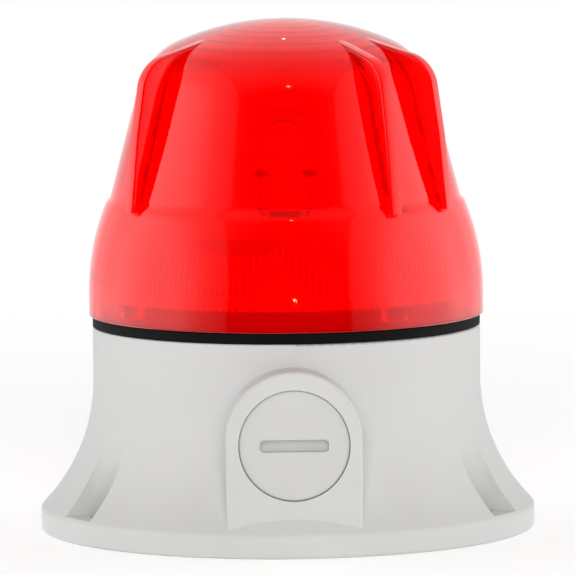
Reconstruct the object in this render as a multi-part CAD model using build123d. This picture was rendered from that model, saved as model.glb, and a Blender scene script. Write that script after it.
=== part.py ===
from build123d import *
import os
from math import sqrt

# A surface-mounting strobe beacon with a small sounder on its circuit board.
# Lengths are in millimetres and angles in degrees. The origin is the centre of
# the mounting face and +Z runs up the axis to the top of the lens. Azimuths are
# counted about +Z from the cable entry, which faces -Y.

# ---- Base housing: a flared moulding, open at the back, with a deck on top ----
body_radius = 38.4
flare_run = 10.6
flare_top = 30.0
flange_edge_height = 4.5
flange_edge_round = 1.2
flange_foot_round = 0.6
base_height = 40.4
shoulder_round = 0.5
wall = 2.5
deck_thickness = 2.5
rib_count = 6
rib_first_azimuth = 30.0
rib_thickness = 1.6
rib_depth = 6.0
rib_inner_radius = 9.0

# ---- Screw pockets in the flare ----
pocket_azimuths = (60.0, 180.0, 300.0)
screw_outset = 4.6
screw_hole_radius = 2.25
screw_head_room = 3.4
pocket_width = 9.3
pocket_corner = 3.0
pocket_floor = 5.0
pocket_wall = 2.0

# ---- Neck above the shoulder, with the bayonet slots ----
seal_seat = 2.8
neck_wall = 3.2
neck_height = 8.5
neck_chamfer = 0.5

# ---- Bayonet: lugs inside the lens, slots outside the neck ----
lug_count = 4
lug_azimuth = 33.5
lug_span = 8.0
lug_reach = 1.3
lug_height = 2.6
lug_lift = 1.3
bayonet_turn = 20.0
bayonet_gap = 0.3
bayonet_end_gap = 0.6

# ---- Lens seal ----
seal_height = 2.2
seal_gap = 0.2
seal_edge_chamfer = 0.3

# ---- Lens: a bell with a stepped skirt, four grip fins and prism rings ----
lens_overhang = 0.7
lens_wall = 2.2
lens_height = 58.4
skirt_upright = 4.4
skirt_height = 22.3
skirt_draw_in = 3.6
panel_step = 0.75
panel_step_rise = 0.6
panel_draw_in = 7.35
dome_rise = 7.6
dome_corner_round = 14.0
prism_ring_count = 4
prism_ring_pitch = 4.25
prism_ring_depth = 0.7
prism_ring_start = 2.4
fin_count = 3
fin_azimuth = 59.0
mark_fin_turn = 24.5
fin_thickness = 2.7
fin_foot_proud = 1.4
fin_foot_drop = 0.3
fin_shoulder_proud = 5.7
fin_shoulder_drop = 7.4
fin_shoulder_round = 7.0
fin_bulge = 0.4
fin_end_inset = 7.9
fin_root = 4.0
fin_edge_round = 0.5

# ---- Cable entry boss and its blanking plug ----
entry_height = 21.6
boss_reach = 8.0
boss_half_width = 13.15
boss_arch_lift = 1.2
boss_edge_round = 0.8
plug_radius = 10.55
plug_head = 3.0
plug_recess = 0.2
plug_gap = 0.25
plug_edge_chamfer = 0.3
thread_radius = 7.6
thread_gap = 0.05
thread_pitch = 1.41
thread_turns = 5.0
plug_core_radius = 5.4
driver_slot_length = 13.3
driver_slot_width = 2.4
driver_slot_depth = 2.0
driver_slot_corner = 0.8
plug_seal_thickness = 1.0
plug_seal_radius = 9.6
plug_seal_gap = 0.1

# ---- Circuit board on its posts ----
board_gap = 1.0
board_thickness = 1.6
post_height = 4.0
post_radius = 2.8
board_screw_azimuths = (0.0, 140.0, 220.0)
board_screw_inset = 3.4
board_screw_radius = 1.2
board_screw_hole_gap = 0.3
board_screw_head_radius = 2.6
board_screw_head_height = 1.8
board_screw_length = 5.0
pilot_gap = 0.05
wire_way_length = 14.0
wire_way_width = 6.0
wire_way_inset = 4.4

# ---- Xenon tube, its holder and trigger parts ----
# Parts on the board are placed by azimuth and by the inset of their middle from its edge.
holder_length = 16.0
holder_width = 8.0
holder_corner = 3.2
holder_height = 9.0
holder_socket_floor = 3.0
tube_radius = 1.8
tube_bore = 1.1
tube_leg_spacing = 10.0
tube_leg_length = 26.0
tube_socket_gap = 0.05
electrode_pin_radius = 0.4
electrode_tip_radius = 0.8
electrode_tip_length = 6.0
trigger_band_thickness = 0.3
trigger_band_height = 1.0
trigger_band_lifts = (6.0, 12.0, 18.0)
trigger_wire_radius = 0.3
trigger_coil_place = (90.0, 16.9)
trigger_coil_radius = 3.5
trigger_coil_height = 10.0
trigger_coil_flange = 1.0
trigger_coil_waist = 0.6

# ---- Inverter transformer ----
inverter_place = (329.5, 11.7)
core_length = 16.0
core_width = 5.0
core_height = 13.0
core_limb = 3.0
core_centre_limb = 4.0
winding_gap = 0.1
winding_depth = 11.0
winding_round = 1.2

# ---- Storage capacitor ----
capacitor_place = (83.5, 4.9)
capacitor_radius = 3.8
capacitor_height = 16.0
capacitor_groove_lift = 2.0
capacitor_groove_depth = 0.5
capacitor_edge = 0.5
sleeve_thickness = 0.2
sleeve_lip = 1.0

# ---- Small parts on the board ----
trigger_capacitor_place = (45.0, 17.3)
trigger_capacitor_size = (10.0, 4.5, 9.0)
trigger_capacitor_round = 0.8
resistor_places = ((35.4, 12.4), (30.3, 9.6), (26.4, 6.7))
resistor_body = 6.3
resistor_end_radius = 1.25
resistor_waist_radius = 1.0
resistor_end_length = 1.4
diode_places = ((56.2, 8.9), (60.7, 5.8))
diode_body = 5.2
diode_radius = 1.35
lead_radius = 0.3
lead_reach = 2.0
lead_bend = 0.6
bridge_place = (297.5, 4.3)
bridge_size = (4.2, 6.4, 5.0)
bridge_chamfer = 1.2
chip_place = (206.0, 9.8)
chip_size = (6.4, 9.6, 3.3)
chip_lift = 0.4
chip_leg_count = 4
chip_leg_pitch = 2.54
chip_leg_width = 0.6
chip_leg_reach = 0.7
chip_notch_radius = 0.9

# ---- Supply terminal block ----
terminal_place = (175.0, 13.0)
terminal_pole_pitch = 5.0
terminal_poles = 2
terminal_width = 8.4
terminal_height = 10.0
terminal_ledge = 2.2
terminal_wire_radius = 1.6
terminal_wire_height = 3.4
terminal_wire_depth = 6.0
terminal_well_radius = 1.9
terminal_screw_radius = 1.7
terminal_screw_height = 2.0
terminal_well_depth = 3.2
screw_slot_width = 0.5
screw_slot_depth = 0.7

# ---- Piezo sounder ----
sounder_place = (261.0, 10.4)
sounder_radius = 9.6
sounder_height = 9.0
sounder_wall = 1.0
sounder_hole_radius = 1.8
sounder_ledge = 3.0
sounder_disc_thickness = 0.6
sounder_disc_gap = 0.1
sounder_base_thickness = 1.2
sounder_rim = 0.6

# ---- Mode switch and volume trimmer ----
switch_place = (114.1, 5.7)
switch_size = (6.7, 9.9, 5.0)
switch_count = 2
switch_pitch = 4.2
switch_window_depth = 1.6
slider_length = 1.6
slider_width = 1.5
slider_proud = 0.8
slider_travel = 1.9
slider_gap = 0.25
trimmer_place = (127.2, 13.2)
trimmer_size = (6.6, 6.6, 4.4)
trimmer_round = 0.5
rotor_radius = 2.4
rotor_sink = 1.6
rotor_proud = 0.4
rotor_gap = 0.05
rotor_slot_width = 0.7
rotor_slot_depth = 0.9

# ---- Heights and radii that follow from the sizes above ----
flange_radius = body_radius + flare_run
flare_drop = flare_top - flange_edge_height
flare_radius = (flare_run**2 + flare_drop**2) / (2 * flare_run)
deck_bottom = base_height - deck_thickness
screw_circle_radius = body_radius + screw_outset
pocket_inner_radius = screw_circle_radius - screw_head_room
neck_radius = body_radius - seal_seat
neck_top = base_height + neck_height
lens_bottom = base_height + seal_height
lens_top = lens_bottom + lens_height
lens_radius = body_radius + lens_overhang
skirt_top_radius = lens_radius - skirt_draw_in
crease_height = lens_bottom + skirt_height
panel_foot_radius = skirt_top_radius - panel_step
panel_foot_height = crease_height + panel_step_rise
panel_top_radius = panel_foot_radius - panel_draw_in
panel_top_height = lens_top - dome_rise
fin_foot_radius = skirt_top_radius + fin_foot_proud
fin_shoulder_radius = panel_top_radius + fin_shoulder_proud
fin_end_radius = panel_top_radius - fin_end_inset
lug_bottom = lens_bottom + lug_lift
lug_inner_radius = neck_radius - lug_reach
board_bottom = base_height + post_height
board_top = board_bottom + board_thickness
board_radius = neck_radius - neck_wall - board_gap
board_screw_circle = board_radius - board_screw_inset
wire_way_place = board_radius - wire_way_inset
entry_face = body_radius + boss_reach
thread_length = thread_pitch * thread_turns
plug_front = plug_recess - entry_face
plug_head_back = plug_front + plug_head
counterbore_floor = plug_head_back + plug_seal_thickness


# ---- Helpers ----


def polar(azimuth, radius=0.0, height=0.0):
    """Place on an azimuth, with local +X pointing outwards."""
    return Rot(0, 0, azimuth - 90) * Pos(radius, 0, height)


def profile(*corners):
    """Closed face in the XZ plane through (radius, height) corners."""
    return make_face(Polyline([(radius, 0, height) for radius, height in corners], close=True))


def span(inner, outer, low, high):
    """Rectangular profile between two radii and two heights."""
    return profile((inner, low), (outer, low), (outer, high), (inner, high))


def ring(inner, outer, low, high):
    """Whole ring, or a disc when the inner radius is zero."""
    return revolve(span(inner, outer, low, high), Axis.Z)


def sector(inner, outer, low, high, start, sweep):
    """Part of a ring that starts on an azimuth and sweeps round +Z."""
    return Rot(0, 0, start - 90) * revolve(span(inner, outer, low, high), Axis.Z, sweep)


def circles_at(solid, radius, height):
    """Circular edges round the Z axis, of one radius and at one height."""
    near = 1e-3
    return solid.edges().filter_by(GeomType.CIRCLE).filter_by(
        lambda edge: abs(edge.radius - radius) < near and abs(edge.arc_center.Z - height) < near
    )


def on_board(place):
    """Unturned place on top of the circuit board, from an azimuth and an inset from its edge."""
    azimuth, inset = place
    spot = polar(azimuth, board_radius - inset, board_top).position
    return Pos(spot)


def plate(size, low=0.0, corner=0.0):
    """Upright block on a centred rectangle, with rounded corners where asked."""
    length, width, height = size
    outline = RectangleRounded(length, width, corner) if corner else Rectangle(length, width)
    return Pos(0, 0, low) * extrude(outline, height)


def entry_disc(radius, front, back):
    """Disc on the axis of the cable entry, between two places along Y."""
    disc = extrude(Plane.XZ.offset(-front) * Circle(radius), -(back - front))
    return Pos(0, 0, entry_height) * disc


# ---- Base housing ----


def base_envelope():
    """Outside of the base as one solid: flange edge, tangent flare, upright wall."""
    wall_foot = (body_radius, 0, flare_top)
    rim = (flange_radius, 0, flange_edge_height)
    flare = TangentArc(wall_foot, rim, tangent=(0, 0, -1))
    rest = Polyline(rim, (flange_radius, 0, 0), (0, 0, 0), (0, 0, base_height),
                    (body_radius, 0, base_height), wall_foot)
    solid = revolve(make_face([flare, rest]), Axis.Z)
    solid = fillet(circles_at(solid, flange_radius, flange_edge_height), flange_edge_round)
    solid = fillet(circles_at(solid, flange_radius, 0), flange_foot_round)
    return fillet(circles_at(solid, body_radius, base_height), shoulder_round)


def base_cavity():
    """Wiring space behind the deck, one wall inside the flare."""
    inner_flare = flare_radius + wall
    rim_height = flare_top - sqrt(inner_flare**2 - (inner_flare - flare_run)**2)
    wall_foot = (body_radius - wall, 0, flare_top)
    rim = (flange_radius - wall, 0, rim_height)
    flare = TangentArc(wall_foot, rim, tangent=(0, 0, -1))
    rest = Polyline(rim, (flange_radius - wall, 0, 0), (0, 0, 0), (0, 0, deck_bottom),
                    (body_radius - wall, 0, deck_bottom), wall_foot)
    return revolve(make_face([flare, rest]), Axis.Z)


def pocket_plan(grow=0.0):
    """Plan of a screw pocket, open outwards, with +X pointing out."""
    inner = pocket_inner_radius - grow
    length = flange_radius + pocket_width - inner
    outline = RectangleRounded(length, pocket_width + 2 * grow, pocket_corner + grow)
    return Pos(inner + length / 2, 0) * outline


def entry_boss():
    """Arched flat-faced boss of the cable entry, with a rounded front edge."""
    arch_centre = entry_height + boss_arch_lift
    depth = entry_face - body_radius + wall
    arch = Pos(0, arch_centre) * Circle(boss_half_width)
    leg = Pos(0, arch_centre / 2) * Rectangle(2 * boss_half_width, arch_centre)
    boss = extrude(Plane.XZ.offset(entry_face) * (arch + leg), -depth)
    front = boss.faces().sort_by(Axis.Y)[0]
    top_edges = front.edges().filter_by(lambda edge: edge.center().Z > flange_edge_height)
    return fillet(top_edges, boss_edge_round)


def bayonet_slots():
    """L-shaped slots cut in the outside of the neck, one for each lug."""
    slot_floor = lug_inner_radius - bayonet_gap
    outside = neck_radius + bayonet_gap
    low = lug_bottom - bayonet_gap
    end_angle = bayonet_end_gap
    slots = []
    for index in range(lug_count):
        start = lug_azimuth + index * 360 / lug_count - lug_span / 2 - end_angle
        run_span = lug_span + 2 * end_angle + bayonet_turn
        entry_span = lug_span + 2 * end_angle
        run_top = lug_bottom + lug_height + bayonet_gap
        slots.append(sector(slot_floor, outside, low, run_top, start, run_span))
        entry_start = start + bayonet_turn
        slots.append(sector(slot_floor, outside, low, neck_top + bayonet_gap, entry_start, entry_span))
    return slots


def deck_ribs():
    """Radial stiffening ribs under the deck."""
    length = body_radius - wall / 2 - rib_inner_radius
    rib = Pos(length / 2, 0) * Rectangle(length, rib_thickness)
    low = deck_bottom - rib_depth
    step = 360 / rib_count
    return [
        polar(rib_first_azimuth + index * step, rib_inner_radius, low) * extrude(rib, rib_depth)
        for index in range(rib_count)
    ]


def base_housing():
    envelope = base_envelope()
    body = envelope + entry_boss() - base_cavity()
    for azimuth in pocket_azimuths:
        boss = polar(azimuth) * extrude(pocket_plan(pocket_wall), flare_top)
        body += boss & envelope
    for rib in deck_ribs():
        body += rib
    neck = ring(neck_radius - neck_wall, neck_radius, base_height, neck_top)
    neck = chamfer(circles_at(neck, neck_radius, neck_top), neck_chamfer)
    body += neck
    for azimuth in board_screw_azimuths:
        body += polar(azimuth, board_screw_circle) * ring(0, post_radius, base_height, board_bottom)
    for azimuth in pocket_azimuths:
        body -= polar(azimuth, 0, pocket_floor) * extrude(pocket_plan(), base_height)
        body -= polar(azimuth, screw_circle_radius) * ring(0, screw_hole_radius, 0, pocket_floor)
    for slot in bayonet_slots():
        body -= slot
    for azimuth in board_screw_azimuths:
        pilot = ring(0, board_screw_radius + pilot_gap, deck_bottom + wall / 2, board_bottom)
        body -= polar(azimuth, board_screw_circle) * pilot
    body -= entry_disc(plug_radius + plug_gap, -entry_face, counterbore_floor)
    body -= entry_disc(thread_radius + thread_gap, -entry_face, -rib_inner_radius)
    wire_way = extrude(SlotOverall(wire_way_length, wire_way_width), deck_thickness)
    body -= Pos(0, wire_way_place, deck_bottom) * wire_way
    return body


# ---- Seal and lens ----


def lens_seal():
    solid = ring(neck_radius + seal_gap, body_radius, base_height, lens_bottom)
    return chamfer(circles_at(solid, body_radius, lens_bottom), seal_edge_chamfer)


def dome_height_at(radius):
    """Height of the outer dome over a point at a radius."""
    dome_radius = (panel_top_radius**2 + dome_rise**2) / (2 * dome_rise)
    return lens_top - dome_radius + sqrt(dome_radius**2 - radius**2)


def lens_outside():
    """Outer form of the lens as one solid of revolution."""
    foot = (lens_radius, 0, lens_bottom)
    upright_top = (lens_radius, 0, lens_bottom + skirt_upright)
    crease = (skirt_top_radius, 0, crease_height)
    panel_foot = (panel_foot_radius, 0, panel_foot_height)
    panel_top = (panel_top_radius, 0, panel_top_height)
    crown = (0, 0, lens_top)
    shoulder = TangentArc(upright_top, crease, tangent=(0, 0, 1))
    dome = TangentArc(crown, panel_top, tangent=(1, 0, 0))
    outline = [Polyline(crown, (0, 0, lens_bottom), foot, upright_top), shoulder,
               Polyline(crease, panel_foot, panel_top), dome]
    solid = revolve(make_face(outline), Axis.Z)
    return fillet(circles_at(solid, panel_top_radius, panel_top_height), dome_corner_round)


def panel_inner_radius(height):
    """Radius of the inside of the conical panel at a height."""
    share = (height - panel_foot_height) / (panel_top_height - panel_foot_height)
    return panel_foot_radius + share * (panel_top_radius - panel_foot_radius) - lens_wall


def prism_ring_corners():
    """Saw-tooth corners of the prism rings, from the lowest ring up."""
    corners = []
    for index in range(prism_ring_count):
        low = panel_foot_height + prism_ring_start + index * prism_ring_pitch
        corners.append((panel_inner_radius(low), 0, low))
        corners.append((panel_inner_radius(low) - prism_ring_depth, 0, low))
    last = panel_foot_height + prism_ring_start + prism_ring_count * prism_ring_pitch
    corners.append((panel_inner_radius(last), 0, last))
    return corners


def lens_inside():
    """Hollow of the lens, with the prism rings standing on its conical part."""
    foot = (lens_radius - lens_wall, 0, lens_bottom)
    upright_top = (lens_radius - lens_wall, 0, lens_bottom + skirt_upright)
    crease = (panel_inner_radius(panel_foot_height), 0, crease_height)
    panel_top = (panel_inner_radius(panel_top_height - lens_wall), 0, panel_top_height - lens_wall)
    crown = (0, 0, lens_top - lens_wall)
    shoulder = TangentArc(upright_top, crease, tangent=(0, 0, 1))
    dome = TangentArc(crown, panel_top, tangent=(1, 0, 0))
    outline = [Polyline(crown, (0, 0, lens_bottom), foot, upright_top), shoulder,
               Polyline(crease, *prism_ring_corners(), panel_top), dome]
    solid = revolve(make_face(outline), Axis.Z)
    corner_round = dome_corner_round - lens_wall
    return fillet(circles_at(solid, panel_top[0], panel_top[2]), corner_round)


def grip_fin():
    """One grip fin in its own plane, before the hollow is taken out of it."""
    foot = crease_height - fin_foot_drop
    shoulder_height = lens_top - fin_shoulder_drop
    end_height = dome_height_at(fin_end_radius)
    root_radius = fin_end_radius - fin_root
    foot_corner = (fin_foot_radius, 0, foot)
    shoulder_corner = (fin_shoulder_radius, 0, shoulder_height)
    middle = ((fin_foot_radius + fin_shoulder_radius) / 2 + fin_bulge, 0, (foot + shoulder_height) / 2)
    outer_edge = ThreePointArc(foot_corner, middle, shoulder_corner)
    rest = Polyline(shoulder_corner, (fin_end_radius, 0, end_height), (root_radius, 0, end_height),
                    (root_radius, 0, foot), foot_corner)
    face = make_face([outer_edge, rest])
    shoulder = face.vertices().filter_by(
        lambda vertex: abs(vertex.X - fin_shoulder_radius) < 1e-6 and vertex.Z > crease_height
    )
    face = fillet(shoulder, fin_shoulder_round)
    fin = extrude(face, fin_thickness / 2, both=True)
    outer = fin.edges().filter_by(lambda edge: abs(abs(edge.center().Y) - fin_thickness / 2) < 1e-6)
    outer = outer.filter_by(lambda edge: edge.center().X > fin_end_radius)
    outer = outer.filter_by(lambda edge: edge.center().Z > crease_height)
    return fillet(outer, fin_edge_round)


def lens_dome():
    solid = lens_outside()
    fin = grip_fin()
    azimuths = [fin_azimuth + index * 360 / fin_count for index in range(fin_count)]
    for azimuth in azimuths + [fin_azimuth - mark_fin_turn]:
        solid += polar(azimuth) * fin
    solid -= lens_inside()
    outer = lens_radius - lens_wall / 2
    for index in range(lug_count):
        start = lug_azimuth + index * 360 / lug_count - lug_span / 2
        solid += sector(lug_inner_radius, outer, lug_bottom, lug_bottom + lug_height, start, lug_span)
    return solid


# ---- Cable entry plug ----


def cable_entry_plug():
    head = entry_disc(plug_radius, plug_front, plug_head_back)
    front = head.faces().sort_by(Axis.Y)[0]
    head = chamfer(front.edges(), plug_edge_chamfer)
    shank_end = counterbore_floor + thread_length
    shank = entry_disc(thread_radius, plug_head_back, shank_end)
    shank -= entry_disc(plug_core_radius, counterbore_floor, shank_end)
    outline = RectangleRounded(driver_slot_length, driver_slot_width, driver_slot_corner)
    slot = extrude(Plane.XZ.offset(-plug_front) * outline, -driver_slot_depth)
    return head + shank - Pos(0, 0, entry_height) * slot


def plug_seal():
    outer = entry_disc(plug_seal_radius, plug_head_back, counterbore_floor)
    return outer - entry_disc(thread_radius + plug_seal_gap, plug_head_back, counterbore_floor)


# ---- Circuit board ----


def circuit_board():
    board = ring(0, board_radius, board_bottom, board_top)
    for azimuth in board_screw_azimuths:
        hole = ring(0, board_screw_radius + board_screw_hole_gap, board_bottom, board_top)
        board -= polar(azimuth, board_screw_circle) * hole
    notch = plate((wire_way_length, board_radius, board_thickness), board_bottom)
    notch_edge = wire_way_place - wire_way_width / 2
    return board - Pos(0, notch_edge + board_radius / 2) * notch


def screw(shank_radius, length, head_radius, head_height):
    """Pan-head screw with its head seated at height zero."""
    shank = ring(0, shank_radius, -length, 0)
    head = ring(0, head_radius, 0, head_height)
    head = chamfer(circles_at(head, head_radius, head_height), head_height / 3)
    slot = plate((2 * head_radius, screw_slot_width, screw_slot_depth), head_height - screw_slot_depth)
    return shank + head - slot


def board_screws():
    one = screw(board_screw_radius, board_screw_length, board_screw_head_radius, board_screw_head_height)
    return [polar(azimuth, board_screw_circle, board_top) * one for azimuth in board_screw_azimuths]


# ---- Xenon tube group ----

tube_foot = board_top + holder_socket_floor
tube_arch_centre = tube_foot + tube_leg_length
leg_places = (-tube_leg_spacing / 2, tube_leg_spacing / 2)


def u_path():
    """Centre line of the U-shaped flash tube."""
    left, right = leg_places
    up = Line((left, 0, tube_foot), (left, 0, tube_arch_centre))
    over = ThreePointArc((left, 0, tube_arch_centre), (0, 0, tube_arch_centre + tube_leg_spacing / 2),
                         (right, 0, tube_arch_centre))
    down = Line((right, 0, tube_arch_centre), (right, 0, tube_foot))
    return Wire([up.edge(), over.edge(), down.edge()])


def flash_tube():
    start = Plane(origin=(leg_places[0], 0, tube_foot), z_dir=(0, 0, 1))
    section = start * (Circle(tube_radius) - Circle(tube_bore))
    return sweep(section, path=u_path())


def tube_holder():
    block = plate((holder_length, holder_width, holder_height), board_top, holder_corner)
    for place in leg_places:
        socket = ring(0, tube_radius + tube_socket_gap, tube_foot, board_top + holder_height)
        block -= Pos(place, 0) * socket
        block -= Pos(place, 0) * ring(0, electrode_pin_radius + tube_socket_gap, board_top, tube_foot)
    return block


def tube_electrodes():
    pin = ring(0, electrode_pin_radius, board_top, tube_foot)
    tip = ring(0, electrode_tip_radius, tube_foot, tube_foot + electrode_tip_length)
    return [Pos(place, 0) * (pin + tip) for place in leg_places]


def trigger_wire():
    """Bands round each leg of the tube, joined by an upright wire that stands on the holder."""
    inner = tube_radius
    outer = tube_radius + trigger_band_thickness
    foot = board_top + holder_height
    solids = []
    for place in leg_places:
        top = tube_foot + trigger_band_lifts[-1] + trigger_band_height
        wire = Pos(0, outer) * ring(0, trigger_wire_radius, foot, top)
        for lift in trigger_band_lifts:
            wire += ring(inner, outer, tube_foot + lift, tube_foot + lift + trigger_band_height)
        solids.append(Pos(place, 0) * wire)
    return solids


def trigger_coil():
    low = trigger_coil_flange
    high = trigger_coil_height - trigger_coil_flange
    waist = trigger_coil_radius - trigger_coil_waist
    coil = revolve(profile((0, 0), (trigger_coil_radius, 0), (trigger_coil_radius, low), (waist, low),
                           (waist, high), (trigger_coil_radius, high),
                           (trigger_coil_radius, trigger_coil_height), (0, trigger_coil_height)), Axis.Z)
    return on_board(trigger_coil_place) * coil


# ---- Inverter transformer ----

core_window_width = (core_length - 2 * core_limb - core_centre_limb) / 2
core_window_height = core_height - 2 * core_limb


def inverter_core():
    core = plate((core_length, core_width, core_height))
    window = plate((core_window_width, core_width, core_window_height), core_limb)
    shift = (core_centre_limb + core_window_width) / 2
    for side in (-shift, shift):
        core -= Pos(side, 0) * window
    return on_board(inverter_place) * core


def inverter_winding():
    outer_length = core_length - 2 * core_limb - 2 * winding_gap
    height = core_window_height - 2 * winding_gap
    low = core_limb + winding_gap
    block = plate((outer_length, winding_depth, height), low, winding_round)
    hole = plate((core_centre_limb, core_width, height), low)
    return on_board(inverter_place) * (block - hole)


# ---- Capacitors ----


def storage_capacitor():
    lift = capacitor_groove_lift
    dent = capacitor_groove_depth
    can = revolve(profile((0, 0), (capacitor_radius, 0), (capacitor_radius, lift - dent),
                          (capacitor_radius - dent, lift), (capacitor_radius, lift + dent),
                          (capacitor_radius, capacitor_height), (0, capacitor_height)), Axis.Z)
    can = chamfer(circles_at(can, capacitor_radius, capacitor_height), capacitor_edge)
    return on_board(capacitor_place) * can


def capacitor_sleeve():
    low = capacitor_groove_lift + capacitor_groove_depth
    high = capacitor_height - sleeve_lip
    outer = capacitor_radius + sleeve_thickness
    return on_board(capacitor_place) * ring(capacitor_radius, outer, low, high)


def trigger_capacitor():
    body = plate(trigger_capacitor_size)
    edges = body.edges().filter_by(Axis.Z) + body.faces().sort_by(Axis.Z)[-1].edges()
    return on_board(trigger_capacitor_place) * fillet(edges, trigger_capacitor_round)


# ---- Leaded parts ----


def lead(start, reach, height):
    """Bent lead that runs out from a body and down to the board."""
    path = FilletPolyline((start, 0, height), (start + reach, 0, height), (start + reach, 0, 0),
                          radius=lead_bend)
    section = Plane(origin=(start, 0, height), z_dir=(1, 0, 0)) * Circle(lead_radius)
    return sweep(section, path=path)


def leaded(body, half_length, height):
    """Body on its side along X, with a lead at each end."""
    one = lead(half_length, lead_reach, height)
    return body + one + mirror(one, Plane.YZ)


def resistors():
    half = resistor_body / 2
    waist_half = half - resistor_end_length
    outline = profile((0, -half), (resistor_end_radius, -half), (resistor_end_radius, -waist_half),
                      (resistor_waist_radius, -waist_half), (resistor_waist_radius, waist_half),
                      (resistor_end_radius, waist_half), (resistor_end_radius, half), (0, half))
    height = resistor_end_radius + lead_radius
    body = Pos(0, 0, height) * Rot(0, 90, 0) * revolve(outline, Axis.Z)
    one = leaded(body, half, height)
    return [on_board(place) * one for place in resistor_places]


def diodes():
    height = diode_radius + lead_radius
    body = ring(0, diode_radius, -diode_body / 2, diode_body / 2)
    one = leaded(Pos(0, 0, height) * Rot(0, 90, 0) * body, diode_body / 2, height)
    return [on_board(place) * Rot(0, 0, 90) * one for place in diode_places]


def bridge_rectifier():
    body = plate(bridge_size)
    edge = body.edges().filter_by(Axis.Z).sort_by(Axis.X)[0]
    return on_board(bridge_place) * chamfer(edge, bridge_chamfer)


def controller_chip():
    length, width, height = chip_size
    body = plate((length, width, height - chip_lift), chip_lift)
    notch = ring(0, chip_notch_radius, height - chip_notch_radius, height)
    chip = body - Pos(0, width / 2) * notch
    leg_length = chip_leg_reach + length / 8
    foot = plate((chip_leg_width / 2, chip_leg_width, chip_lift + height / 2))
    arm = plate((leg_length, chip_leg_width, chip_leg_width / 2), height / 2)
    leg = Pos(length / 2 + chip_leg_reach - chip_leg_width / 4, 0) * foot
    leg += Pos(length / 2 + chip_leg_reach - leg_length / 2, 0) * arm
    for index in range(chip_leg_count):
        shift = (index - (chip_leg_count - 1) / 2) * chip_leg_pitch
        chip += Pos(0, shift) * leg
        chip += Pos(0, shift) * mirror(leg, Plane.YZ)
    return on_board(chip_place) * chip


# ---- Terminal block ----


def pole_shifts():
    """Places of the poles along X, about the middle of the block."""
    return [(index - (terminal_poles - 1) / 2) * terminal_pole_pitch for index in range(terminal_poles)]


def terminal_block():
    length = terminal_pole_pitch * terminal_poles
    half = terminal_width / 2
    side = Polyline((0, -half, 0), (0, half, 0), (0, half, terminal_height - terminal_ledge),
                    (0, half - terminal_ledge, terminal_height), (0, -half, terminal_height), close=True)
    block = Pos(-length / 2, 0) * extrude(make_face(side), length, dir=(1, 0, 0))
    wire = Pos(0, half, terminal_wire_height) * Rot(90, 0, 0)
    wire_hole = wire * ring(0, terminal_wire_radius, 0, terminal_wire_depth)
    well = ring(0, terminal_well_radius, terminal_height - terminal_well_depth, terminal_height)
    for shift in pole_shifts():
        block -= Pos(shift, 0) * wire_hole
        block -= Pos(shift, -terminal_ledge / 2) * well
    return on_board(terminal_place) * block


def terminal_screws():
    floor = terminal_height - terminal_well_depth
    head = ring(0, terminal_screw_radius, floor, floor + terminal_screw_height)
    slot = plate((2 * terminal_screw_radius, screw_slot_width, screw_slot_depth),
                 floor + terminal_screw_height - screw_slot_depth)
    one = Pos(0, -terminal_ledge / 2) * (head - slot)
    return [on_board(terminal_place) * Pos(shift, 0) * one for shift in pole_shifts()]


# ---- Sounder ----

sounder_inner_radius = sounder_radius - sounder_wall
sounder_ledge_radius = sounder_inner_radius - sounder_wall


def sounder_case():
    case = ring(0, sounder_radius, 0, sounder_height)
    case = chamfer(circles_at(case, sounder_radius, sounder_height), sounder_rim)
    case -= ring(0, sounder_inner_radius, 0, sounder_ledge)
    case -= ring(0, sounder_ledge_radius, sounder_ledge, sounder_height - sounder_wall)
    case -= ring(0, sounder_hole_radius, sounder_height - sounder_wall, sounder_height)
    return on_board(sounder_place) * case


def sounder_disc():
    low = sounder_ledge - sounder_disc_thickness
    disc = ring(0, sounder_inner_radius - sounder_disc_gap, low, sounder_ledge)
    return on_board(sounder_place) * disc


def sounder_base():
    """Closing plate with a rim that holds the disc against its ledge."""
    edge = sounder_inner_radius - sounder_disc_gap
    plate_part = ring(0, edge, 0, sounder_base_thickness)
    rim = ring(edge - sounder_wall, edge, sounder_base_thickness, sounder_ledge - sounder_disc_thickness)
    return on_board(sounder_place) * (plate_part + rim)


# ---- Mode switch and volume trimmer ----


def switch_shifts():
    """Places of the sliders along Y, about the middle of the switch."""
    return [(index - (switch_count - 1) / 2) * switch_pitch for index in range(switch_count)]


def mode_switch():
    body = plate(switch_size)
    window = plate((slider_length + slider_travel + 2 * slider_gap, slider_width + 2 * slider_gap,
                    switch_window_depth), switch_size[2] - switch_window_depth)
    for shift in switch_shifts():
        body -= Pos(0, shift) * window
    return on_board(switch_place) * body


def mode_slider(shift):
    """Slider at the far end of its window, from where it travels towards the axis."""
    low = switch_size[2] - switch_window_depth
    block = plate((slider_length, slider_width, switch_window_depth + slider_proud), low)
    return on_board(switch_place) * Pos(slider_travel / 2, shift) * block


def volume_trimmer():
    body = plate(trimmer_size, 0, trimmer_round)
    top = trimmer_size[2]
    return on_board(trimmer_place) * (body - ring(0, rotor_radius + rotor_gap, top - rotor_sink, top))


def volume_rotor():
    top = trimmer_size[2] + rotor_proud
    rotor = ring(0, rotor_radius, trimmer_size[2] - rotor_sink, top)
    slot = plate((2 * rotor_radius, rotor_slot_width, rotor_slot_depth), top - rotor_slot_depth)
    return on_board(trimmer_place) * (rotor - slot)


# ---- Write each sub-part ----

lower_slider, upper_slider = switch_shifts()

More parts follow.
